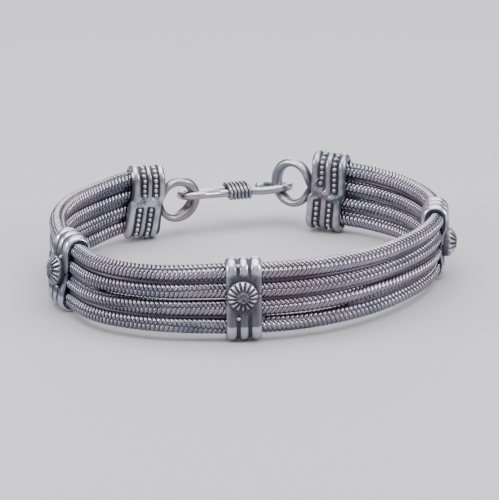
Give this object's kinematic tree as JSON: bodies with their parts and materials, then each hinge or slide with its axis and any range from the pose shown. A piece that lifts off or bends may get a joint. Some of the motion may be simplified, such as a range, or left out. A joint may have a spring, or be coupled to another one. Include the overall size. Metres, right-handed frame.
{
  "type": "four-strand woven chain bracelet with hook clasp",
  "caption": "Bracelet of round woven silver chains stacked in a band, held by ribbed stations with fluted rosettes and beaded end caps, closed by a bound wire hook between two rings.",
  "frame": {"origin": "middle of the bracelet's box, on the surface that it stands on", "axes": "+Z along the wrist's axis, +Y towards the clasp, +X to the right as seen from the middle station"},
  "size_m": [0.0657, 0.0651, 0.014],
  "materials": {
    "woven_silver": "oxidised silver wire, worn bright on the crests",
    "station_silver": "cast silver, satin, dark in the grooves",
    "cap_silver": "soldered sheet and bead wire in silver, satin, dark between the beads",
    "hook_silver": "drawn silver wire, polished by wear"
  },
  "bodies": {
    "root": {"strand_1": "woven_silver", "strand_2": "woven_silver", "strand_3": "woven_silver", "strand_4": "woven_silver", "station_left": "station_silver", "station_front": "station_silver", "station_right": "station_silver", "cap_left": "cap_silver", "cap_right": "cap_silver", "hook": "hook_silver", "hook_wrap": "hook_silver"}
  },
  "joints": []
}
